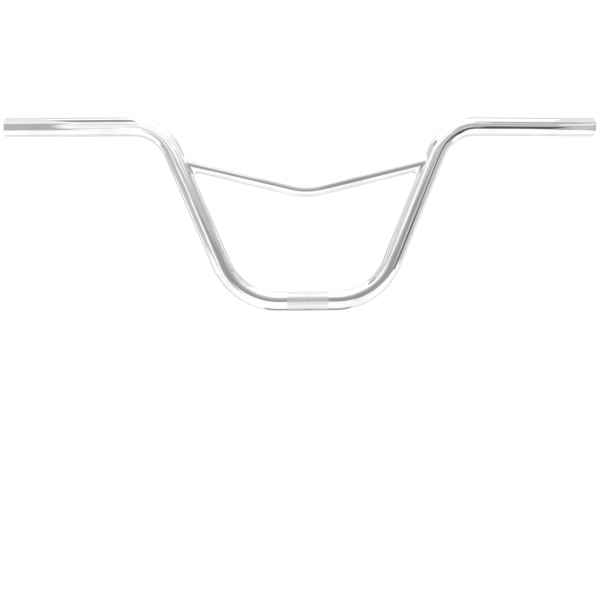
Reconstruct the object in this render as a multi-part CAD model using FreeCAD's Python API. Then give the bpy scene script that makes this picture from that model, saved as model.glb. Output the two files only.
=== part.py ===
import FreeCAD, Part
import math
import os

# BMX handlebar: one steel tube with four bends, and a thinner crossbar between its uprights.
# The origin is the centre of the stem clamp, on the axis of the main tube.
# +X runs along the clamp to the rider's left, +Y goes back towards the rider and +Z is up.
# Lengths are in millimetres and angles in degrees. Bend radii are taken to the tube's axis.

# Main tube
main_tube_diameter = 22.2
main_tube_wall = 1.6
clamp_straight_length = 68.4
bottom_bend_radius = 74.3
upright_angle = 67.2
upright_straight_length = 143.4
top_bend_radius = 54.0
grip_straight_length = 155.8
backsweep_angle = 10.0
upsweep_angle = 1.0
end_edge_radius = 0.6
bore_edge_chamfer = 0.4

# Knurled band that the stem grips, measured over the crests of the knurl
knurl_band_length = 50.0
knurl_rise = 0.1
knurl_runout = 0.6

# Crossbar: a shallow V, with its joints on the axes of the uprights
crossbar_diameter = 15.9
crossbar_wall = 1.2
crossbar_bend_radius = 72.0
crossbar_dip = 37.6
joint_below_top_bend = 9.4

# Brazed joints between the crossbar and the uprights
fillet_radius = 5.0
vent_hole_diameter = 6.0

# Sizes that follow from those above
main_radius = main_tube_diameter / 2
main_bore_radius = main_radius - main_tube_wall
crossbar_radius = crossbar_diameter / 2
crossbar_bore_radius = crossbar_radius - crossbar_wall

ORIGIN = FreeCAD.Vector(0, 0, 0)
ALONG_CLAMP = FreeCAD.Vector(1, 0, 0)
SAME_POINT = 0.001


def heading_from_angles(slope, sweep):
    """Unit direction that climbs by slope and turns back towards the rider by sweep."""
    level = math.cos(math.radians(slope))
    return FreeCAD.Vector(
        level * math.cos(math.radians(sweep)),
        level * math.sin(math.radians(sweep)),
        math.sin(math.radians(slope)),
    )


def section(point, heading, outer_radius, bore_radius):
    """Flat section square to a tube's axis: a ring, or a disc where there is no bore."""
    outline = Part.Wire(Part.makeCircle(outer_radius, point, heading))
    if bore_radius == 0:
        return Part.Face(outline)
    bore = Part.Wire(Part.makeCircle(bore_radius, point, heading))
    return Part.makeFace([outline, bore], "Part::FaceMakerBullseye")


class Straight:
    """Straight run of a tube's axis."""

    def __init__(self, length):
        self.length = length

    def solid(self, point, heading, face):
        """The section carried along the run."""
        return face.extrude(heading * self.length)

    def end(self, point, heading):
        """Where the run ends, and its heading there."""
        return point + heading * self.length, heading


class Bend:
    """Circular bend of a tube's axis, from the heading it is met with to a new one."""

    def __init__(self, radius, new_heading):
        self.radius = radius
        self.new_heading = new_heading

    def turn(self, point, heading):
        """Centre, axis and angle of the turn."""
        axis = heading.cross(self.new_heading).normalize()
        centre = point + axis.cross(heading) * self.radius
        return centre, axis, math.degrees(heading.getAngle(self.new_heading))

    def solid(self, point, heading, face):
        """The section carried round the bend."""
        return face.revolve(*self.turn(point, heading))

    def end(self, point, heading):
        """Where the bend ends, and its heading there."""
        centre, axis, angle = self.turn(point, heading)
        return centre + FreeCAD.Rotation(axis, angle).multVec(point - centre), self.new_heading


def lay_tube(start, heading, steps, outer_radius, bore_radius=0):
    """Solid of a tube, or of a rod where there is no bore, whose axis follows the steps."""
    pieces = []
    point = start
    for step in steps:
        face = section(point, heading, outer_radius, bore_radius)
        pieces.append(step.solid(point, heading, face))
        point, heading = step.end(point, heading)
    return pieces[0].fuse(pieces[1:]).removeSplitter()


def end_of(start, heading, steps):
    """Point and heading at the end of a tube's axis."""
    point = start
    for step in steps:
        point, heading = step.end(point, heading)
    return point, heading


def across(shape):
    """The shape's mirror image on the other side of the bar."""
    return shape.mirror(ORIGIN, ALONG_CLAMP)


def both_sides(half):
    """One solid from the left half and its mirror image."""
    return half.fuse(across(half)).removeSplitter()


def rim(shape, centre, radius):
    """Round edge of the shape with the given centre and radius."""
    for edge in shape.Edges:
        circle = edge.Curve
        if not isinstance(circle, Part.Circle):
            continue
        if circle.Center.isEqual(centre, SAME_POINT) and abs(circle.Radius - radius) < SAME_POINT:
            return edge


def is_on_rod(point, base, heading, radius):
    """Whether a point lies on the surface of a round rod."""
    return abs(point.distanceToLine(base, heading) - radius) < SAME_POINT


# Axis of the left half of the main tube, from the middle of the clamp to the grip's end
upright_heading = heading_from_angles(upright_angle, 0)
grip_heading = heading_from_angles(upsweep_angle, backsweep_angle)
steps_to_upright_top = [
    Straight(clamp_straight_length / 2),
    Bend(bottom_bend_radius, upright_heading),
    Straight(upright_straight_length),
]
main_steps = steps_to_upright_top + [
    Bend(top_bend_radius, grip_heading),
    Straight(grip_straight_length),
]
upright_top, _ = end_of(ORIGIN, ALONG_CLAMP, steps_to_upright_top)
grip_end, _ = end_of(ORIGIN, ALONG_CLAMP, main_steps)

# Axis of the left half of the crossbar, from the bottom of its V to the upright's axis
joint = upright_top - upright_heading * joint_below_top_bend
legs_meet = FreeCAD.Vector(0, 0, joint.z - crossbar_dip)
leg_heading = (joint - legs_meet).normalize()
leg_slope = ALONG_CLAMP.getAngle(leg_heading)
bend_above_meeting = crossbar_bend_radius * (1 / math.cos(leg_slope) - 1)
crossbar_bottom = legs_meet + FreeCAD.Vector(0, 0, bend_above_meeting)
leg_length = joint.distanceToPoint(legs_meet) - crossbar_bend_radius * math.tan(leg_slope)
crossbar_steps = [
    Bend(crossbar_bend_radius, leg_heading),
    Straight(leg_length),
]


def build_knurl_band():
    """Ring over the crests of the knurl, with its ends running out into the tube."""
    half = knurl_band_length / 2
    crest = main_radius + knurl_rise
    inside = main_radius - main_tube_wall / 2
    outline = [
        (-half, inside),
        (-half, main_radius),
        (-half + knurl_runout, crest),
        (half - knurl_runout, crest),
        (half, main_radius),
        (half, inside),
    ]
    corners = [FreeCAD.Vector(along, 0, out) for along, out in outline]
    profile = Part.Face(Part.makePolygon(corners + corners[:1]))
    return profile.revolve(ORIGIN, ALONG_CLAMP, 360)


def build_main_tube():
    """The bent tube, with dressed ends, a vent hole in each upright and the knurled band."""
    half = lay_tube(ORIGIN, ALONG_CLAMP, main_steps, main_radius, main_bore_radius)
    half = half.makeFillet(end_edge_radius, [rim(half, grip_end, main_radius)])
    half = half.makeChamfer(bore_edge_chamfer, [rim(half, grip_end, main_bore_radius)])
    half = half.cut(Part.makeCylinder(vent_hole_diameter / 2, main_tube_diameter, joint, -leg_heading))
    return both_sides(half).fuse(build_knurl_band()).removeSplitter()


def build_crossbar_tube():
    """The V-bent tube, with both ends coped to the uprights."""
    half = lay_tube(crossbar_bottom, ALONG_CLAMP, crossbar_steps, crossbar_radius, crossbar_bore_radius)
    upright = lay_tube(ORIGIN, ALONG_CLAMP, main_steps, main_radius)
    return both_sides(half.cut(upright))


def build_joint_fillet():
    """Ring of filler metal in the corner between the left leg of the crossbar and its upright."""
    reach = main_tube_diameter + crossbar_diameter + 4 * fillet_radius
    upright = Part.makeCylinder(main_radius, 2 * reach, joint - upright_heading * reach, upright_heading)
    leg = Part.makeCylinder(crossbar_radius, reach, joint, -leg_heading)
    bare = upright.fuse(leg)
    seam = [
        edge
        for edge in bare.Edges
        if is_on_rod(edge.firstVertex().Point, joint, upright_heading, main_radius)
        and is_on_rod(edge.firstVertex().Point, joint, leg_heading, crossbar_radius)
    ]
    return bare.makeFillet(fillet_radius, seam).cut(bare)


left_joint_fillet = build_joint_fillet()
parts = {
    "main_tube": build_main_tube(),
    "crossbar_tube": build_crossbar_tube(),
    "left_joint_fillet": left_joint_fillet,
    "right_joint_fillet": across(left_joint_fillet),
}

os.makedirs("parts", exist_ok=True)
for name, shape in parts.items():
    shape.exportStep(f"parts/{name}.step")
    print(f"{name}: {len(shape.Solids)} solid, {shape.Volume:.1f} cubic mm")
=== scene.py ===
"""Looks of a chrome-plated BMX handlebar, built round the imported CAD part.

Sizes of the bar, its finishes and the camera's places are in millimetres, as in the part's source. Those of
the studio and of the finished meshes are in metres. The frame is the part's own: its origin is the middle of
the stem clamp on the tube's axis, +X runs to the rider's left, +Y back towards the rider and +Z up.
"""

from __future__ import annotations

import logging
import math
from dataclasses import dataclass, field
from enum import Enum

import bpy
import numpy as np
from mathutils import Matrix, Vector


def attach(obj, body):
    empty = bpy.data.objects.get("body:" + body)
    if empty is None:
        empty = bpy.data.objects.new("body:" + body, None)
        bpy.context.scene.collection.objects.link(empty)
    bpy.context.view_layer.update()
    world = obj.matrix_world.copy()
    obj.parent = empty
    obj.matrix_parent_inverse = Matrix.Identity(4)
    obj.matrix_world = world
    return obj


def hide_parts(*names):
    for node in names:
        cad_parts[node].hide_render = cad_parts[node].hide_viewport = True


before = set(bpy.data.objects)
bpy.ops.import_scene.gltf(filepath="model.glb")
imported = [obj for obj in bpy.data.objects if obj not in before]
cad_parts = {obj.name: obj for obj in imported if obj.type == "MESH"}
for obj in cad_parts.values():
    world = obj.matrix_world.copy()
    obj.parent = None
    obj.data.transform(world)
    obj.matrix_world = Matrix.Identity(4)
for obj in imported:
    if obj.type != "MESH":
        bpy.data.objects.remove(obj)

MM = 0.001
# Attributes of the meshes that materials read
UNROLLED = "unrolled"
RISE = "rise"
COVER = "cover"

log = logging.getLogger("handlebar")


class Side(Enum):
    """Side of the bar, as the rider sees it. The value is the sign of X there."""

    LEFT = 1
    RIGHT = -1

    @property
    def word(self) -> str:
        """The side's name in a piece's or a node's name."""
        return self.name.lower()


class Facing(Enum):
    """Axis that a flat card is square to, with the two axes that it spreads along."""

    SIDEWAYS = (0, 1, 2)
    FRONT = (1, 0, 2)
    OVERHEAD = (2, 0, 1)


def linear(hex_colour: str) -> tuple[float, float, float, float]:
    """Linear RGBA of an sRGB hex colour.

    Args:
        hex_colour: The colour as #RRGGBB.

    Returns:
        Red, green, blue and an alpha of 1, by the sRGB curve.
    """
    coded = np.array([int(hex_colour[i : i + 2], 16) for i in (1, 3, 5)]) / 255
    decoded = np.where(coded <= 0.04045, coded / 12.92, ((coded + 0.055) / 1.055) ** 2.4)
    return (*decoded.tolist(), 1.0)


def unit(vectors: np.ndarray) -> np.ndarray:
    """The vectors along the last axis, each divided by its length."""
    return vectors / np.linalg.norm(vectors, axis=-1, keepdims=True)


def turned(vector: np.ndarray, axis: np.ndarray, angles: np.ndarray) -> np.ndarray:
    """A vector turned about an axis by each of several angles.

    Rodrigues' formula: v cos a + (k x v) sin a + k (k . v) (1 - cos a).

    Args:
        vector: The vector, with three numbers.
        axis: Unit axis of the turn.
        angles: Angles in radians, in an array of any shape.

    Returns:
        The turned vectors, in the shape of angles with a last axis of three.
    """
    cos, sin = np.cos(angles)[..., None], np.sin(angles)[..., None]
    return vector * cos + np.cross(axis, vector) * sin + axis * (axis @ vector) * (1 - cos)


def heading(slope: float, sweep: float) -> np.ndarray:
    """Unit direction that climbs by slope and turns back by sweep, both in degrees."""
    climb, back = math.radians(slope), math.radians(sweep)
    return np.array([math.cos(climb) * math.cos(back), math.cos(climb) * math.sin(back), math.sin(climb)])


def add_node(
    tree: bpy.types.NodeTree,
    kind: str,
    links: dict | None = None,
    **settings: object,
) -> bpy.types.Node:
    """Adds a node with its settings and its incoming links.

    Args:
        tree: Node tree that gets the node.
        kind: Blender's type name of the node.
        links: Input, by name or number, to the output socket that feeds it or the value it is set to.
        **settings: Attributes of the node.

    Returns:
        The new node.
    """
    node = tree.nodes.new(kind)
    for name, value in settings.items():
        setattr(node, name, value)
    for key, value in (links or {}).items():
        if isinstance(value, bpy.types.NodeSocket):
            tree.links.new(value, node.inputs[key])
        else:
            node.inputs[key].default_value = value
    return node


def new_material(name: str) -> tuple[bpy.types.Material, bpy.types.NodeTree]:
    """An empty node material and its tree."""
    material = bpy.data.materials.new(name)
    material.use_nodes = True
    material.node_tree.nodes.clear()
    return material, material.node_tree


@dataclass(frozen=True)
class PolishedChrome:
    """Bright chrome plate over belt-polished steel tube.

    To the eye it is a clear mirror with a faint grey haze in places, reflections that wander a little because
    a drawn tube is never quite straight, and buffing lines that run round it.
    """

    plate: str = "#FAFAFA"
    haze: str = "#F0F0F0"
    clear_roughness: float = 0.018
    hazy_roughness: float = 0.05
    haze_size: float = 38.0
    # Levels of the noise between which the haze sets in
    haze_levels: tuple[float, float] = (0.42, 0.72)
    # Real buffing lines are about 0.02 mm apart. They are drawn 1.1 mm apart, so that they show at all.
    buffing_spacing: float = 1.1
    buffing_length: float = 55.6
    wander_size: float = 24.0
    wander_height: float = 0.012

    def material(self) -> bpy.types.Material:
        """The finish as a material on the unrolled coordinates of a tube."""
        material, tree = new_material("chrome_plate_polished")
        place = add_node(tree, "ShaderNodeAttribute", attribute_name=UNROLLED).outputs["Vector"]
        cloud = add_node(
            tree,
            "ShaderNodeTexNoise",
            {"Vector": place, "Scale": 1 / (self.haze_size * MM), "Detail": 4.0, "Roughness": 0.55},
        )
        between, along = 1 / (self.buffing_spacing * MM), 1 / (self.buffing_length * MM)
        stretched = add_node(
            tree,
            "ShaderNodeMapping",
            {"Vector": place, "Scale": (between, along, along)},
        )
        lines = add_node(
            tree,
            "ShaderNodeTexNoise",
            {"Vector": stretched.outputs[0], "Scale": 1.0, "Detail": 2.0},
        )
        haze_from, haze_full = self.haze_levels
        haze = add_node(
            tree,
            "ShaderNodeMapRange",
            {"Value": cloud.outputs["Fac"], "From Min": haze_from, "From Max": haze_full},
            interpolation_type="SMOOTHSTEP",
        )
        colour = add_node(
            tree,
            "ShaderNodeMix",
            {0: haze.outputs[0], 6: linear(self.plate), 7: linear(self.haze)},
            data_type="RGBA",
        )
        mixed = add_node(
            tree,
            "ShaderNodeMath",
            {0: haze.outputs[0], 1: lines.outputs["Fac"]},
            operation="MULTIPLY",
        )
        roughness = add_node(
            tree,
            "ShaderNodeMapRange",
            {"Value": mixed.outputs[0], "To Min": self.clear_roughness, "To Max": self.hazy_roughness},
        )
        waves = add_node(
            tree,
            "ShaderNodeTexNoise",
            {"Vector": place, "Scale": 1 / (self.wander_size * MM), "Detail": 1.0},
        )
        bump = add_node(
            tree,
            "ShaderNodeBump",
            {"Height": waves.outputs["Fac"], "Strength": 1.0, "Distance": self.wander_height * MM},
        )
        shader = add_node(
            tree,
            "ShaderNodeBsdfPrincipled",
            {
                "Base Color": colour.outputs[2],
                "Metallic": 1.0,
                "Roughness": roughness.outputs[0],
                "Normal": bump.outputs[0],
            },
        )
        add_node(tree, "ShaderNodeOutputMaterial", {"Surface": shader.outputs[0]})
        return material


@dataclass(frozen=True)
class KnurledChrome:
    """Chrome plate over a rolled diamond knurl.

    To the eye it is a light satin band: the flats on its diamonds mirror the room as the tube does, and its
    shallow grooves scatter the rest. The grooves are painted darker as shade, and the crests carry random
    grain.
    """

    crest: str = "#FAFAFA"
    # Colour painted into the bottoms of the grooves as shade
    groove: str = "#E4E4E4"
    # Share of the crests' colour in the bottom of a groove; the rest there is the groove's painted shade
    crest_share: float = 0.15
    smooth_roughness: float = 0.08
    rough_roughness: float = 0.22
    grain_size: float = 0.9

    def material(self) -> bpy.types.Material:
        """The finish as a material that reads how far each point stands up from the grooves, and paints the
        grooves darker as shade.
        """
        material, tree = new_material("chrome_plate_knurled")
        rise = add_node(tree, "ShaderNodeAttribute", attribute_name=RISE).outputs["Fac"]
        place = add_node(tree, "ShaderNodeAttribute", attribute_name=UNROLLED).outputs["Vector"]
        grain = add_node(
            tree,
            "ShaderNodeTexNoise",
            {"Vector": place, "Scale": 1 / (self.grain_size * MM), "Detail": 2.0},
        )
        # Painted shade: the colour darkens towards the groove bottoms, and random grain varies the crests
        groove_shade_and_grain = add_node(
            tree,
            "ShaderNodeMath",
            {0: rise, 1: grain.outputs["Fac"], 2: self.crest_share},
            operation="MULTIPLY_ADD",
        )
        colour = add_node(
            tree,
            "ShaderNodeMix",
            {0: groove_shade_and_grain.outputs[0], 6: linear(self.groove), 7: linear(self.crest)},
            data_type="RGBA",
        )
        roughness = add_node(
            tree,
            "ShaderNodeMapRange",
            {"Value": grain.outputs["Fac"], "To Min": self.smooth_roughness, "To Max": self.rough_roughness},
        )
        shader = add_node(
            tree,
            "ShaderNodeBsdfPrincipled",
            {"Base Color": colour.outputs[2], "Metallic": 1.0, "Roughness": roughness.outputs[0]},
        )
        add_node(tree, "ShaderNodeOutputMaterial", {"Surface": shader.outputs[0]})
        return material


@dataclass(frozen=True)
class BareBore:
    """Drawn steel inside the tube, which plating hardly reaches.

    To the eye it is dull grey metal with draw lines along it, and patches where a brown film of rust takes
    its shine.
    """

    steel: str = "#A8A5A0"
    bloom: str = "#7A6555"
    steel_roughness: float = 0.42
    bloom_roughness: float = 0.67
    bloom_metallic: float = 0.2
    bloom_size: float = 9.0
    # Levels of the noise between which the rust sets in
    bloom_levels: tuple[float, float] = (0.42, 0.62)
    # Real draw lines are about 0.1 mm apart. They are drawn 0.7 mm apart, so that they show at all.
    draw_line_spacing: float = 0.7
    draw_line_length: float = 83.3
    draw_line_height: float = 0.04
    draw_line_strength: float = 0.6

    def material(self) -> bpy.types.Material:
        """The finish as a material on the unrolled coordinates of a tube."""
        material, tree = new_material("drawn_steel_bare")
        place = add_node(tree, "ShaderNodeAttribute", attribute_name=UNROLLED).outputs["Vector"]
        patches = add_node(
            tree,
            "ShaderNodeTexNoise",
            {"Vector": place, "Scale": 1 / (self.bloom_size * MM), "Detail": 6.0, "Roughness": 0.65},
        )
        bloom_from, bloom_full = self.bloom_levels
        spots = add_node(
            tree,
            "ShaderNodeMapRange",
            {"Value": patches.outputs["Fac"], "From Min": bloom_from, "From Max": bloom_full},
            interpolation_type="SMOOTHSTEP",
        )
        along, between = 1 / (self.draw_line_length * MM), 1 / (self.draw_line_spacing * MM)
        stretched = add_node(tree, "ShaderNodeMapping", {"Vector": place, "Scale": (along, between, between)})
        lines = add_node(
            tree,
            "ShaderNodeTexNoise",
            {"Vector": stretched.outputs[0], "Scale": 1.0, "Detail": 2.0},
        )
        bump = add_node(
            tree,
            "ShaderNodeBump",
            {
                "Height": lines.outputs["Fac"],
                "Strength": self.draw_line_strength,
                "Distance": self.draw_line_height * MM,
            },
        )
        colour = add_node(
            tree,
            "ShaderNodeMix",
            {0: spots.outputs[0], 6: linear(self.steel), 7: linear(self.bloom)},
            data_type="RGBA",
        )
        roughness = add_node(
            tree,
            "ShaderNodeMapRange",
            {"Value": spots.outputs[0], "To Min": self.steel_roughness, "To Max": self.bloom_roughness},
        )
        metallic = add_node(
            tree,
            "ShaderNodeMapRange",
            {"Value": spots.outputs[0], "To Min": 1.0, "To Max": self.bloom_metallic},
        )
        shader = add_node(
            tree,
            "ShaderNodeBsdfPrincipled",
            {
                "Base Color": colour.outputs[2],
                "Metallic": metallic.outputs[0],
                "Roughness": roughness.outputs[0],
                "Normal": bump.outputs[0],
            },
        )
        add_node(tree, "ShaderNodeOutputMaterial", {"Surface": shader.outputs[0]})
        return material


@dataclass(frozen=True)
class Finishes:
    """The materials that the bar's pieces share."""

    chrome: bpy.types.Material
    knurl: bpy.types.Material
    bore: bpy.types.Material


@dataclass(frozen=True)
class AxisFrame:
    """Places on a tube's axis: each has a point, a heading and a normal square to the heading."""

    points: np.ndarray
    headings: np.ndarray
    normals: np.ndarray


@dataclass(frozen=True)
class Straight:
    """Straight run of a tube's axis."""

    length: float

    def carry(self, start: AxisFrame, along: np.ndarray) -> AxisFrame:
        """The frame carried along the run, without turning.

        Args:
            start: The one place that the run starts from.
            along: Distances from the start.

        Returns:
            A place for each distance.
        """
        still = np.ones((along.size, 1))
        return AxisFrame(
            start.points + along[:, None] * start.headings,
            still * start.headings,
            still * start.normals,
        )


@dataclass(frozen=True)
class Bend:
    """Circular bend of a tube's axis, from one heading to another."""

    radius: float
    before: np.ndarray
    after: np.ndarray

    @property
    def length(self) -> float:
        """Length of the bend along the axis."""
        return self.radius * math.acos(float(self.before @ self.after))

    def carry(self, start: AxisFrame, along: np.ndarray) -> AxisFrame:
        """The frame turned round the bend's centre by distance over radius.

        Args:
            start: The one place that the bend starts from.
            along: Distances from the start.

        Returns:
            A place for each distance.
        """
        axis = unit(np.cross(self.before, self.after))
        inwards = np.cross(axis, self.before) * self.radius
        angles = along / self.radius
        return AxisFrame(
            start.points + inwards + turned(-inwards, axis, angles),
            turned(start.headings[0], axis, angles),
            turned(start.normals[0], axis, angles),
        )


@dataclass(frozen=True)
class TubeAxis:
    """Axis of a tube that is the same on both sides: the left half is laid out, and the right mirrors it."""

    start: np.ndarray
    steps: tuple[Straight | Bend, ...]

    @property
    def half_length(self) -> float:
        """Length of the axis from its middle to one end."""
        return sum(step.length for step in self.steps)

    def at(self, stations: np.ndarray) -> AxisFrame:
        """Places at signed distances from the middle, positive to the left.

        Args:
            stations: Distances along the axis, in one row.

        Returns:
            A place for each station. The last step runs on past its end.
        """
        reach = np.abs(stations)
        points, headings, normals = (np.empty((reach.size, 3)) for _ in range(3))
        here = AxisFrame(self.start[None], np.array([[1.0, 0, 0]]), np.array([[0, 0, 1.0]]))
        begin = 0.0
        for step in self.steps:
            rest = reach >= begin
            part = step.carry(here, reach[rest] - begin)
            points[rest], headings[rest], normals[rest] = part.points, part.headings, part.normals
            here = step.carry(here, np.array([step.length]))
            begin += step.length
        flip = np.where(stations < 0, -1.0, 1.0)
        points[:, 0] *= flip
        normals[:, 0] *= flip
        headings[:, 1:] *= flip[:, None]
        return AxisFrame(points, headings, normals)

    def rings(self, stations: np.ndarray, radii: np.ndarray, angles: np.ndarray) -> np.ndarray:
        """Points round the axis.

        Formula: axis point + radius (cos a normal + sin a heading x normal).

        Args:
            stations: Distance along the axis for each ring and angle.
            radii: Distance from the axis for each ring and angle.
            angles: Angles round the axis.

        Returns:
            An array of rings by angles by three.
        """
        stations, radii, angles = np.broadcast_arrays(stations, radii, angles)
        at = self.at(stations.ravel())
        out = np.cos(angles).reshape(-1, 1) * at.normals
        out = out + np.sin(angles).reshape(-1, 1) * np.cross(at.headings, at.normals)
        return (at.points + radii.reshape(-1, 1) * out).reshape(*stations.shape, 3)

    def spaced(self, straight_gap: float, bend_gap: float) -> np.ndarray:
        """Stations from the middle to the left end, with their own gap on runs and on bends.

        Args:
            straight_gap: Longest gap on a straight run.
            bend_gap: Longest gap on a bend.

        Returns:
            The stations in rising order, without the end itself.
        """
        found, begin = [], 0.0
        for step in self.steps:
            gap = straight_gap if isinstance(step, Straight) else bend_gap
            count = math.ceil(step.length / gap)
            found.append(begin + step.length * np.arange(count) / count)
            begin += step.length
        return np.concatenate(found)


def unroll(stations: np.ndarray, radii: np.ndarray, angles: np.ndarray) -> np.ndarray:
    """Coordinates of a bent tube as if it were straight: (along, radius cos a, radius sin a), in metres."""
    stations, radii, angles = np.broadcast_arrays(stations, radii, angles)
    return MM * np.stack([stations, radii * np.cos(angles), radii * np.sin(angles)], axis=-1)


def around(count: int) -> np.ndarray:
    """Evenly spaced angles round a tube, the last one short of a full turn."""
    return np.arange(count) * (2 * math.pi / count)


def closed_mesh(
    name: str,
    points: np.ndarray,
    unrolled: np.ndarray,
    materials: list[bpy.types.Material],
    crease: float,
    zones: np.ndarray | None = None,
) -> bpy.types.Object:
    """A piece whose surface is a grid of quads that closes on itself in both directions, as a ring's does.

    Args:
        name: Name of the piece.
        points: Grid of points in millimetres, rings by angles by three.
        unrolled: Grid of coordinates that the finishes read, in metres.
        materials: The piece's materials.
        crease: Angle in degrees past which two quads meet in a sharp edge.
        zones: Number of the material of the quads that follow each ring. Without it all have the first.

    Returns:
        The piece, at the origin, with its faces turned outwards.
    """
    rings, count = points.shape[:2]
    a = np.arange(rings * count).reshape(rings, count)
    b = np.roll(a, -1, axis=1)
    quads = np.stack([a, b, np.roll(b, -1, axis=0), np.roll(a, -1, axis=0)], axis=-1).reshape(-1, 4)
    flat = (points * MM).reshape(-1, 3)
    corners = flat[quads]
    spread = np.cross(corners[:, 2] - corners[:, 0], corners[:, 3] - corners[:, 1])
    if (spread * corners.mean(axis=1)).sum() < 0:
        quads = quads[:, ::-1]
    mesh = bpy.data.meshes.new(name)
    mesh.vertices.add(len(flat))
    mesh.vertices.foreach_set("co", flat.astype(np.float32).ravel())
    mesh.loops.add(quads.size)
    mesh.loops.foreach_set("vertex_index", quads.astype(np.int32).ravel())
    mesh.polygons.add(len(quads))
    mesh.polygons.foreach_set("loop_start", np.arange(0, quads.size, 4, dtype=np.int32))
    for material in materials:
        mesh.materials.append(material)
    if zones is not None:
        mesh.polygons.foreach_set("material_index", np.repeat(zones, count).astype(np.int32))
    mesh.update(calc_edges=True)
    mesh.shade_smooth()
    mesh.set_sharp_from_angle(angle=math.radians(crease))
    mesh.attributes.new(UNROLLED, "FLOAT_VECTOR", "POINT").data.foreach_set(
        "vector", unrolled.astype(np.float32).ravel()
    )
    piece = bpy.data.objects.new(name, mesh)
    bpy.context.scene.collection.objects.link(piece)
    return piece


def mount(piece: bpy.types.Object, *nodes: str) -> None:
    """Hangs a piece on the bar's root body in place of CAD nodes, which it hides.

    Args:
        piece: The finished piece.
        *nodes: CAD nodes that it stands for.
    """
    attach(piece, "root")
    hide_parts(*nodes)
    log.info("%s: %d quads, stands for %s", piece.name, len(piece.data.polygons), ", ".join(nodes))


@dataclass(frozen=True)
class KnurlBand:
    """Rolled diamond knurl round the middle of the clamp straight."""

    length: float = 50.0
    crest_radius: float = 11.2
    groove_depth: float = 0.12
    # How far the crests fall over the run-out, to the plain tube's skin
    end_drop: float = 0.1
    # Share of the way from a groove's middle to the next crest's middle that the groove's slope takes up
    groove_share: float = 1 / 3
    seat_radius: float = 10.7
    runout: float = 0.6
    # A bar's knurl is about 0.8 mm coarse. It is drawn at 1.2 mm, so that its diamonds show in the render.
    pitch: float = 1.2
    samples: int = 6
    crease: float = 8.0

    @property
    def starts(self) -> int:
        """Number of grooves of one set round the tube."""
        return round(2 * math.pi * self.crest_radius / self.pitch)

    def fade(self, stations: np.ndarray) -> np.ndarray:
        """Share of the knurl that is left at each station: 1 up to the run-outs, and 0 at the ends."""
        return np.clip((self.length / 2 - np.abs(stations)) / self.runout, 0, 1)

    def rise(self, stations: np.ndarray, angles: np.ndarray) -> np.ndarray:
        """Height over the grooves, from 0 to 1.

        Two sets of V grooves cross at 45 degrees to the axis and leave flat diamonds. Each set is a triangle
        wave of turns plus or minus distance, stretched and cut off at 1. The lower set holds, and the grooves
        fade to nothing over the run-out at both ends.

        Args:
            stations: Distances along the axis, in one column.
            angles: Angles round the axis, in one row.

        Returns:
            The height for each station and angle.
        """
        turns = self.starts * angles / (2 * math.pi)
        steps = stations / self.pitch
        waves = [np.abs(2 * (phase - np.floor(phase)) - 1) for phase in (turns + steps, turns - steps)]
        return 1 - (1 - np.clip(np.minimum(*waves) / self.groove_share, 0, 1)) * self.fade(stations)

    def build(self, axis: TubeAxis, finishes: Finishes) -> None:
        """Lays the band on the tube as a sleeve with a knurled outside and a plain seat.

        Args:
            axis: Axis of the main tube.
            finishes: The bar's materials.
        """
        angles = around(self.starts * self.samples)
        half = self.length / 2
        outside = np.linspace(-half, half, round(self.length / self.pitch * self.samples) + 1)
        rise = self.rise(outside[:, None], angles)
        crest = self.crest_radius - self.end_drop * (1 - self.fade(outside[:, None]))
        skin = crest - self.groove_depth * (1 - rise)
        stations = np.append(outside, [half, -half])[:, None]
        radii = np.vstack([skin, np.full((2, angles.size), self.seat_radius)])
        piece = closed_mesh(
            "knurled_clamp_band",
            axis.rings(stations, radii, angles),
            unroll(stations, radii, angles),
            [finishes.knurl],
            self.crease,
        )
        height = np.vstack([rise, np.zeros((2, angles.size))]).astype(np.float32)
        piece.data.attributes.new(RISE, "FLOAT", "POINT").data.foreach_set("value", height.ravel())
        mount(piece, "main_tube")


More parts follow.
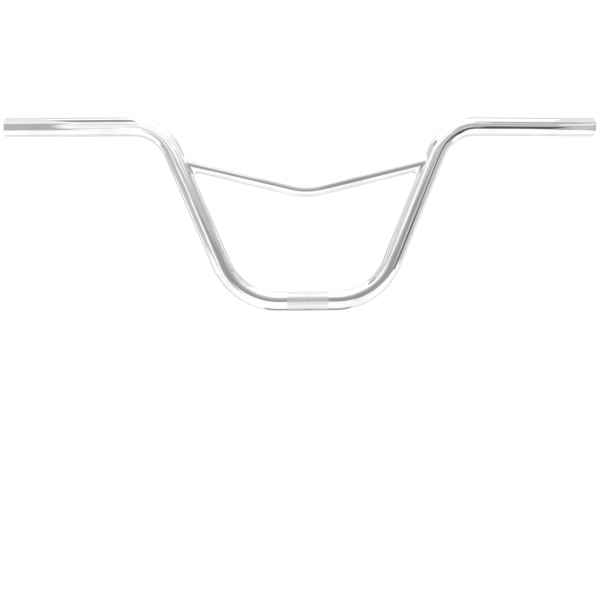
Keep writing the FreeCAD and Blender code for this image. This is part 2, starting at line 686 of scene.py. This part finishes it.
@dataclass(frozen=True)
class MainTube:
    """The bent tube: clamp straight, bottom bends, uprights, top bends and grips."""

    diameter: float = 22.2
    wall: float = 1.6
    clamp_length: float = 68.4
    bottom_bend_radius: float = 74.3
    upright_angle: float = 67.2
    upright_length: float = 143.4
    top_bend_radius: float = 54.0
    grip_length: float = 155.8
    backsweep_angle: float = 10.0
    upsweep_angle: float = 1.0
    end_edge_radius: float = 0.6
    bore_edge_chamfer: float = 0.4
    # How far the plating reaches into the bore from its mouths
    plated_depth: float = 8.0
    # Longest gaps between rings, on straight runs and on bends
    skin_gaps: tuple[float, float] = (4.0, 1.1)
    bore_gaps: tuple[float, float] = (9.0, 3.0)
    # Least distance from a ring that marks an edge to the next of the evenly spaced ones
    skin_clearance: float = 0.5
    bore_clearance: float = 1.0
    # Width of the step down to the seat of the knurled band
    seat_step: float = 0.02
    edge_steps: int = 8
    segments: int = 96
    crease: float = 30.0
    band: KnurlBand = field(default_factory=KnurlBand)

    @property
    def radius(self) -> float:
        """Outside radius of the tube."""
        return self.diameter / 2

    @property
    def upright_heading(self) -> np.ndarray:
        """Direction of the left upright, going up."""
        return heading(self.upright_angle, 0)

    def axis(self) -> TubeAxis:
        """Axis of the tube, from the middle of the clamp to the ends of the grips."""
        out = np.array([1.0, 0, 0])
        grip = heading(self.upsweep_angle, self.backsweep_angle)
        steps = (
            Straight(self.clamp_length / 2),
            Bend(self.bottom_bend_radius, out, self.upright_heading),
            Straight(self.upright_length),
            Bend(self.top_bend_radius, self.upright_heading, grip),
            Straight(self.grip_length),
        )
        return TubeAxis(np.zeros(3), steps)

    def on_upright(self, below_top_bend: float) -> np.ndarray:
        """Point on the left upright's axis, at a distance below the top bend."""
        axis = self.axis()
        station = sum(step.length for step in axis.steps[:3]) - below_top_bend
        return axis.at(np.array([station])).points[0]

    def outline(self, axis: TubeAxis) -> tuple[np.ndarray, np.ndarray, np.ndarray]:
        """Section of the wall along the axis, as one closed line.

        It runs along the outside to the left, over the rounded edge and the chamfer of the left end, back
        through the bore, plated at its mouth, and over the right end. Under the knurled band the outside
        drops to the band's seat.

        Args:
            axis: Axis of the tube.

        Returns:
            Stations, radii, and the zone after each: 0 for plated and 1 for the bore.
        """
        end, edge, bevel = axis.half_length, self.end_edge_radius, self.bore_edge_chamfer
        bore = self.radius - self.wall
        seat = self.band.length / 2
        skin = axis.spaced(*self.skin_gaps)
        skin = skin[skin > seat + self.skin_clearance]
        skin = np.concatenate([[0, seat - self.seat_step, seat], skin, [end - edge]])
        skin_radii = np.where(skin < seat, self.band.seat_radius, self.radius)
        arc = np.radians(np.linspace(0, 90, self.edge_steps + 1)[1:])
        lip = np.concatenate([end - edge + edge * np.sin(arc), [end, end - bevel, end - self.plated_depth]])
        lip_radii = np.concatenate([self.radius - edge + edge * np.cos(arc), [bore + bevel, bore, bore]])
        inner = axis.spaced(*self.bore_gaps)
        inner = inner[inner < end - self.plated_depth - self.bore_clearance]
        left = np.concatenate([skin, lip, inner[::-1]])
        left_radii = np.concatenate([skin_radii, lip_radii, np.full(inner.size, bore)])
        left_zones = np.concatenate([np.zeros(skin.size + lip.size - 1), np.ones(inner.size + 1)])
        stations = np.concatenate([left, -left[1:-1][::-1]])
        radii = np.concatenate([left_radii, left_radii[1:-1][::-1]])
        zones = np.concatenate([left_zones, left_zones[:-2][::-1]])
        return stations, radii, zones

    def build(self, finishes: Finishes) -> None:
        """Lays the tube and its knurled band.

        Args:
            finishes: The bar's materials.
        """
        axis = self.axis()
        stations, radii, zones = self.outline(axis)
        angles = around(self.segments)
        piece = closed_mesh(
            "chrome_main_tube",
            axis.rings(stations[:, None], radii[:, None], angles),
            unroll(stations[:, None], radii[:, None], angles),
            [finishes.chrome, finishes.bore],
            self.crease,
            zones,
        )
        mount(piece, "main_tube")
        self.band.build(axis, finishes)


@dataclass(frozen=True)
class Crossbar:
    """The thinner V-bent tube between the uprights, with the filler metal of its two joints."""

    main: MainTube
    diameter: float = 15.9
    wall: float = 1.2
    bend_radius: float = 72.0
    dip: float = 37.6
    joint_below_top_bend: float = 9.4
    fillet_radius: float = 5.0
    # How far the ends and the fillets reach under the skins that they meet
    sink: float = 0.3
    # Distance from the joint, in radii of this tube, at which the rings start to lean over to the coped end
    cope_radii: float = 3.0
    # Longest gaps between rings, on straight runs and on bends
    ring_gaps: tuple[float, float] = (4.0, 1.1)
    cope_rings: int = 9
    fillet_rings: int = 17
    segments: int = 80
    tube_crease: float = 30.0
    fillet_crease: float = 40.0

    @property
    def radius(self) -> float:
        """Outside radius of the tube."""
        return self.diameter / 2

    @property
    def joint(self) -> np.ndarray:
        """Point where the left leg's axis meets the upright's."""
        return self.main.on_upright(self.joint_below_top_bend)

    @property
    def leg_heading(self) -> np.ndarray:
        """Direction of the left leg, from the middle to the joint."""
        return unit(self.joint - np.array([0, 0, self.joint[2] - self.dip]))

    def axis(self) -> TubeAxis:
        """Axis of the tube, from the bottom of the V to the uprights' axes."""
        joint, leg = self.joint, self.leg_heading
        slope = math.acos(leg[0])
        bottom = joint[2] - self.dip + self.bend_radius * (1 / math.cos(slope) - 1)
        length = self.dip / math.sin(slope) - self.bend_radius * math.tan(slope)
        bend = Bend(self.bend_radius, np.array([1.0, 0, 0]), leg)
        return TubeAxis(np.array([0, 0, bottom]), (bend, Straight(length)))

    def reach(self, offset: np.ndarray, radius: float) -> np.ndarray:
        """How far from the joint a line beside the leg's axis meets a round skin about the upright's axis.

        The line is offset + w back, with back pointing from the joint along the leg. Only what is square to
        the upright counts, so w solves |offset' + w back'| = radius, a quadratic whose larger root is taken.

        Args:
            offset: Offsets of the lines from the leg's axis.
            radius: Radius of the skin.

        Returns:
            The distance w for each line.
        """
        upright, back = self.main.upright_heading, -self.leg_heading
        across = back - (back @ upright) * upright
        aside = offset - (offset @ upright)[..., None] * upright
        a = across @ across
        b = aside @ across
        c = (aside * aside).sum(axis=-1) - radius**2
        return (-b + np.sqrt(b * b - a * c)) / a

    def spokes(self, angles: np.ndarray) -> np.ndarray:
        """Unit directions round the left leg's axis, at the angles that the tube's own rings have."""
        axis = self.axis()
        place = axis.at(np.array([axis.half_length]))
        side = np.cross(place.headings[0], place.normals[0])
        return np.cos(angles)[:, None] * place.normals[0] + np.sin(angles)[:, None] * side

    def build_tube(self, finishes: Finishes) -> None:
        """Lays the tube, with both ends coped to the uprights and sunk a little into their skin.

        Args:
            finishes: The bar's materials.
        """
        axis = self.axis()
        angles = around(self.segments)
        skin = self.main.radius - self.sink
        whole = axis.spaced(*self.ring_gaps)
        keep = axis.half_length - self.cope_radii * self.radius
        body = whole[whole < keep][:, None] + np.zeros(angles.size)
        share = np.linspace(0, 1, self.cope_rings)[:, None]
        skins = (self.radius, self.radius - self.wall)
        walls = []
        for radius in skins:
            coped = axis.half_length - self.reach(radius * self.spokes(angles), skin)
            walls.append(np.vstack([body, keep + share * (coped - keep)]))
        left = np.vstack([walls[0], walls[1][::-1]])
        left_radii = np.repeat(skins, [len(wall) for wall in walls])[:, None]
        stations = np.vstack([left, -left[1:-1][::-1]])
        radii = np.vstack([left_radii, left_radii[1:-1][::-1]])
        piece = closed_mesh(
            "chrome_crossbar",
            axis.rings(stations, radii, angles),
            unroll(stations, radii, angles),
            [finishes.chrome],
            self.tube_crease,
        )
        mount(piece, "crossbar_tube")

    def build_fillet(self, side: Side, finishes: Finishes) -> None:
        """Lays the ring of filler metal in the corner of one joint.

        A ball of the fillet's radius rolls round the corner. Its centre is radius + fillet away from both
        axes, and the skin is the arc between its touching points:
        centre + fillet (d1 sin((1-t) k) + d2 sin(t k)) / sin k, where k is the angle between the directions
        d1 and d2 to those points. The ring closes under the skins.

        Args:
            side: Side of the bar.
            finishes: The bar's materials.
        """
        angles = around(self.segments)
        spokes = self.spokes(angles)
        upright, back, ball = self.main.upright_heading, -self.leg_heading, self.fillet_radius
        offset = (self.radius + ball) * spokes
        along = self.reach(offset, self.main.radius + ball)
        centre = offset + along[:, None] * back
        to_leg = -spokes
        to_upright = -unit(centre - (centre @ upright)[:, None] * upright)
        share = np.linspace(0, 1, self.fillet_rings)[:, None]
        gap = np.arccos((to_leg * to_upright).sum(axis=1))
        blend = (
            np.sin((1 - share) * gap)[..., None] * to_leg + np.sin(share * gap)[..., None] * to_upright
        ) / np.sin(gap)[:, None]
        arc = centre + ball * blend
        deep = (self.radius - self.sink) * spokes
        corner = deep + self.reach(deep, self.main.radius - self.sink)[:, None] * back
        points = self.joint + np.concatenate([arc, corner[None]])
        points[..., 0] *= side.value
        piece = closed_mesh(
            f"chrome_{side.word}_joint",
            points,
            points * MM,
            [finishes.chrome],
            self.fillet_crease,
        )
        mount(piece, f"{side.word}_joint_fillet")

    def build(self, finishes: Finishes) -> None:
        """Lays the tube and both joints.

        Args:
            finishes: The bar's materials.
        """
        self.build_tube(finishes)
        for side in Side:
            self.build_fillet(side, finishes)


class Tone(Enum):
    """Grey of a studio card. The value is the colour that it is seen at."""

    BLACK = "#585858"
    DARK = "#A0A0A0"
    MIDDLE = "#B8B8B8"
    LIGHT = "#C8C8C8"
    PALE = "#D8D8D8"
    FAINT = "#E4E4E4"
    OFF_WHITE = "#EEEEEE"
    WHITE = "#FFFFFF"


@dataclass(frozen=True)
class Card:
    """Flat card of the studio, which only shows as a reflection in the chrome."""

    name: str
    facing: Facing
    at: float
    low: tuple[float, float]
    high: tuple[float, float]
    tone: Tone

    def build(self, paper: bpy.types.Material, feather: float) -> None:
        """Hangs the card, with its cover fading to nothing inside its edges.

        Args:
            paper: Material of the card's tone.
            feather: Width of the fading edge, in metres. A narrow card fades over a third of its width.
        """
        square, first, second = self.facing.value
        spans = []
        for low, high in zip(self.low, self.high):
            soft = min(feather, (high - low) / 3)
            spans.append(np.array([low, low + soft, high - soft, high]))
        u, v = np.meshgrid(*spans, indexing="ij")
        points = np.empty((*u.shape, 3))
        points[..., square], points[..., first], points[..., second] = self.at, u, v
        inside = np.array([0.0, 1.0, 1.0, 0.0])
        a = np.arange(u.size).reshape(u.shape)
        quads = np.stack([a[:-1, :-1], a[1:, :-1], a[1:, 1:], a[:-1, 1:]], axis=-1).reshape(-1, 4)
        mesh = bpy.data.meshes.new(self.name)
        mesh.from_pydata(points.reshape(-1, 3).tolist(), [], quads.tolist())
        mesh.materials.append(paper)
        cover = np.outer(inside, inside).astype(np.float32)
        mesh.attributes.new(COVER, "FLOAT", "POINT").data.foreach_set("value", cover.ravel())
        card = bpy.data.objects.new(self.name, mesh)
        bpy.context.scene.collection.objects.link(card)
        card.visible_camera = False
        card.visible_diffuse = False
        card.visible_shadow = False


# The room that the chrome mirrors, in metres. Left and right are the rider's. Where cards overlap, the nearer
# one hides the other.
STUDIO_CARDS = (
    # Curtain in front of the bar, with a dark slot where the camera stands and a black flag beside it
    Card("front_wing_right", Facing.FRONT, -0.29, (-0.90, -0.15), (-0.43, 0.50), Tone.MIDDLE),
    Card("front_sill", Facing.FRONT, -0.29, (0.10, -0.10), (0.40, 0.01), Tone.DARK),
    Card("front_strip", Facing.FRONT, -0.30, (-0.35, 0.12), (0.05, 0.20), Tone.LIGHT),
    Card("front_slot", Facing.FRONT, -0.31, (-0.20, -0.06), (0.25, 0.21), Tone.DARK),
    Card("front_flag", Facing.FRONT, -0.31, (0.39, -0.04), (0.56, 0.20), Tone.BLACK),
    Card("front_wing_left", Facing.FRONT, -0.32, (-0.04, -0.02), (0.65, 0.32), Tone.LIGHT),
    Card("front_valance_left", Facing.FRONT, -0.32, (0.45, 0.45), (0.80, 0.85), Tone.MIDDLE),
    Card("front_drop_left", Facing.FRONT, -0.33, (0.25, 0.00), (0.55, 0.45), Tone.MIDDLE),
    Card("front_drop_right", Facing.FRONT, -0.34, (-0.28, -0.20), (-0.18, 0.20), Tone.MIDDLE),
    # Two rails across the gap beside it, which draw fine lines along the right grip
    Card("front_rail_high", Facing.FRONT, -0.30, (-0.45, 0.30), (-0.30, 0.34), Tone.DARK),
    Card("front_rail_low", Facing.FRONT, -0.30, (-0.45, 0.04), (-0.36, 0.08), Tone.DARK),
    # Side walls
    Card("right_wall_low", Facing.SIDEWAYS, -0.80, (-0.30, -0.20), (0.20, 0.10), Tone.LIGHT),
    Card("right_wall", Facing.SIDEWAYS, -0.82, (-0.55, -0.05), (0.60, 1.20), Tone.PALE),
    Card("left_flag", Facing.SIDEWAYS, 0.68, (-0.55, -0.20), (-0.28, 0.00), Tone.BLACK),
    Card("left_wall", Facing.SIDEWAYS, 0.80, (-0.85, -0.18), (0.30, 0.70), Tone.LIGHT),
    # Close by: cards round the ends of the grips, and one that hides the table's shade from the crossbar
    Card("grip_screen", Facing.SIDEWAYS, 0.50, (-0.20, 0.01), (-0.08, 0.10), Tone.LIGHT),
    Card("grip_strip", Facing.SIDEWAYS, 0.42, (-0.15, 0.24), (-0.03, 0.30), Tone.WHITE),
    Card("grip_canopy_left", Facing.OVERHEAD, 0.32, (0.34, -0.04), (0.46, 0.12), Tone.OFF_WHITE),
    Card("grip_canopy_right", Facing.OVERHEAD, 0.32, (-0.46, -0.06), (-0.32, 0.12), Tone.OFF_WHITE),
    Card("crossbar_screen", Facing.OVERHEAD, 0.05, (-0.06, 0.01), (0.07, 0.16), Tone.WHITE),
    # Curtain behind the bar, with a slot of its own and a dark post at each corner
    Card("back_slot", Facing.FRONT, 1.20, (-0.40, -0.20), (0.40, 0.35), Tone.BLACK),
    Card("back_post_left", Facing.FRONT, 1.20, (0.85, -0.20), (1.15, 0.35), Tone.DARK),
    Card("back_post_right", Facing.FRONT, 1.20, (-1.15, -0.20), (-0.85, 0.35), Tone.DARK),
    Card("back_curtain", Facing.FRONT, 1.25, (-1.20, -0.40), (1.20, 0.70), Tone.LIGHT),
    # Below and above
    Card("table_shade", Facing.OVERHEAD, -0.39, (-0.12, 0.10), (0.20, 0.80), Tone.DARK),
    Card("floor_shade_left", Facing.OVERHEAD, -0.40, (0.20, 0.30), (0.95, 0.80), Tone.FAINT),
    Card("floor_shade_right", Facing.OVERHEAD, -0.40, (-0.95, 0.30), (-0.12, 0.80), Tone.FAINT),
    Card("ceiling_strip", Facing.OVERHEAD, 0.73, (-0.50, -0.35), (-0.30, 0.05), Tone.DARK),
    Card("canopy_left", Facing.OVERHEAD, 0.60, (0.25, 0.20), (0.95, 0.60), Tone.LIGHT),
    Card("canopy_right", Facing.OVERHEAD, 0.60, (-0.95, 0.20), (-0.25, 0.60), Tone.LIGHT),
)


@dataclass(frozen=True)
class Studio:
    """White room with a pale floor, a soft lamp overhead and grey cards that the chrome reflects."""

    floor_height: float = -0.48
    floor_half_size: float = 4.0
    floor_colour: str = "#F3F3F3"
    floor_fill: float = 0.1
    lamp_height: float = 1.6
    lamp_size: float = 1.8
    lamp_power: float = 4.0
    feather: float = 0.02
    cards: tuple[Card, ...] = STUDIO_CARDS

    def build_world(self) -> None:
        """Plain white surroundings, which the camera and the chrome see at a strength of 1."""
        world = bpy.data.worlds.new("white_room")
        world.use_nodes = True
        tree = world.node_tree
        tree.nodes.clear()
        white = add_node(tree, "ShaderNodeBackground", {"Color": linear(Tone.WHITE.value), "Strength": 1.0})
        add_node(tree, "ShaderNodeOutputWorld", {"Surface": white.outputs[0]})
        bpy.context.scene.world = world

    def build_floor(self) -> None:
        """Pale matte floor. A little of its own light brings it up to white where no shadow falls."""
        material, tree = new_material("floor_paint_matte")
        matte = add_node(tree, "ShaderNodeBsdfDiffuse", {"Color": linear(self.floor_colour)})
        fill = add_node(
            tree,
            "ShaderNodeEmission",
            {"Color": linear(Tone.WHITE.value), "Strength": self.floor_fill},
        )
        both = add_node(tree, "ShaderNodeAddShader", {0: matte.outputs[0], 1: fill.outputs[0]})
        add_node(tree, "ShaderNodeOutputMaterial", {"Surface": both.outputs[0]})
        signs = ((-1, -1), (1, -1), (1, 1), (-1, 1))
        corners = [(x * self.floor_half_size, y * self.floor_half_size, self.floor_height) for x, y in signs]
        mesh = bpy.data.meshes.new("floor")
        mesh.from_pydata(corners, [], [(0, 1, 2, 3)])
        mesh.materials.append(material)
        floor = bpy.data.objects.new("floor", mesh)
        bpy.context.scene.collection.objects.link(floor)

    def build_lamp(self) -> None:
        """One large soft lamp overhead."""
        lamp = bpy.data.lights.new("overhead_softbox", "AREA")
        lamp.shape = "SQUARE"
        lamp.size = self.lamp_size
        lamp.energy = self.lamp_power
        holder = bpy.data.objects.new("overhead_softbox", lamp)
        holder.location = (0, 0, self.lamp_height)
        bpy.context.scene.collection.objects.link(holder)

    def paper(self, tone: Tone) -> bpy.types.Material:
        """Card of one tone, which glows at just that grey and fades out where its cover does."""
        material, tree = new_material(f"studio_card_{tone.name.lower()}")
        cover = add_node(tree, "ShaderNodeAttribute", attribute_name=COVER).outputs["Fac"]
        glow = add_node(tree, "ShaderNodeEmission", {"Color": linear(tone.value), "Strength": 1.0})
        clear = add_node(tree, "ShaderNodeBsdfTransparent")
        shown = add_node(tree, "ShaderNodeMixShader", {0: cover, 1: clear.outputs[0], 2: glow.outputs[0]})
        add_node(tree, "ShaderNodeOutputMaterial", {"Surface": shown.outputs[0]})
        return material

    def build_cards(self) -> None:
        """Grey cards round the bar."""
        papers = {tone: self.paper(tone) for tone in Tone}
        for card in self.cards:
            card.build(papers[card.tone], self.feather)

    def build(self) -> None:
        """Sets up the room."""
        self.build_world()
        self.build_floor()
        self.build_lamp()
        self.build_cards()
        bpy.context.scene.view_settings.view_transform = "Standard"


@dataclass(frozen=True)
class PhotoCamera:
    """Camera of the photograph: in front of the bar, a little to the right of the rider and low."""

    eye: tuple[float, float, float] = (-136.0, -1795.5, -35.0)
    aim: tuple[float, float, float] = (-8.7, 0.0, 1.5)
    roll: float = -0.58
    lens: float = 90.0
    sensor: float = 36.0

    def build(self) -> None:
        """Places the camera and makes it the scene's own."""
        data = bpy.data.cameras.new("photo_camera")
        data.sensor_width = self.sensor
        data.lens = self.lens
        eye, aim = Vector(self.eye) * MM, Vector(self.aim) * MM
        look = (aim - eye).to_track_quat("-Z", "Y").to_matrix().to_4x4()
        camera = bpy.data.objects.new("photo_camera", data)
        tilt = Matrix.Rotation(math.radians(self.roll), 4, "Z")
        camera.matrix_world = Matrix.Translation(eye) @ look @ tilt
        bpy.context.scene.collection.objects.link(camera)
        bpy.context.scene.camera = camera


def main() -> None:
    """Builds the bar, the studio and the camera."""
    logging.basicConfig(level=logging.INFO, format="%(name)s: %(message)s")
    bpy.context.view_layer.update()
    finishes = Finishes(PolishedChrome().material(), KnurledChrome().material(), BareBore().material())
    main_tube = MainTube()
    main_tube.build(finishes)
    Crossbar(main_tube).build(finishes)
    Studio().build()
    PhotoCamera().build()
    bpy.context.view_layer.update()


if __name__ == "__main__":
    main()
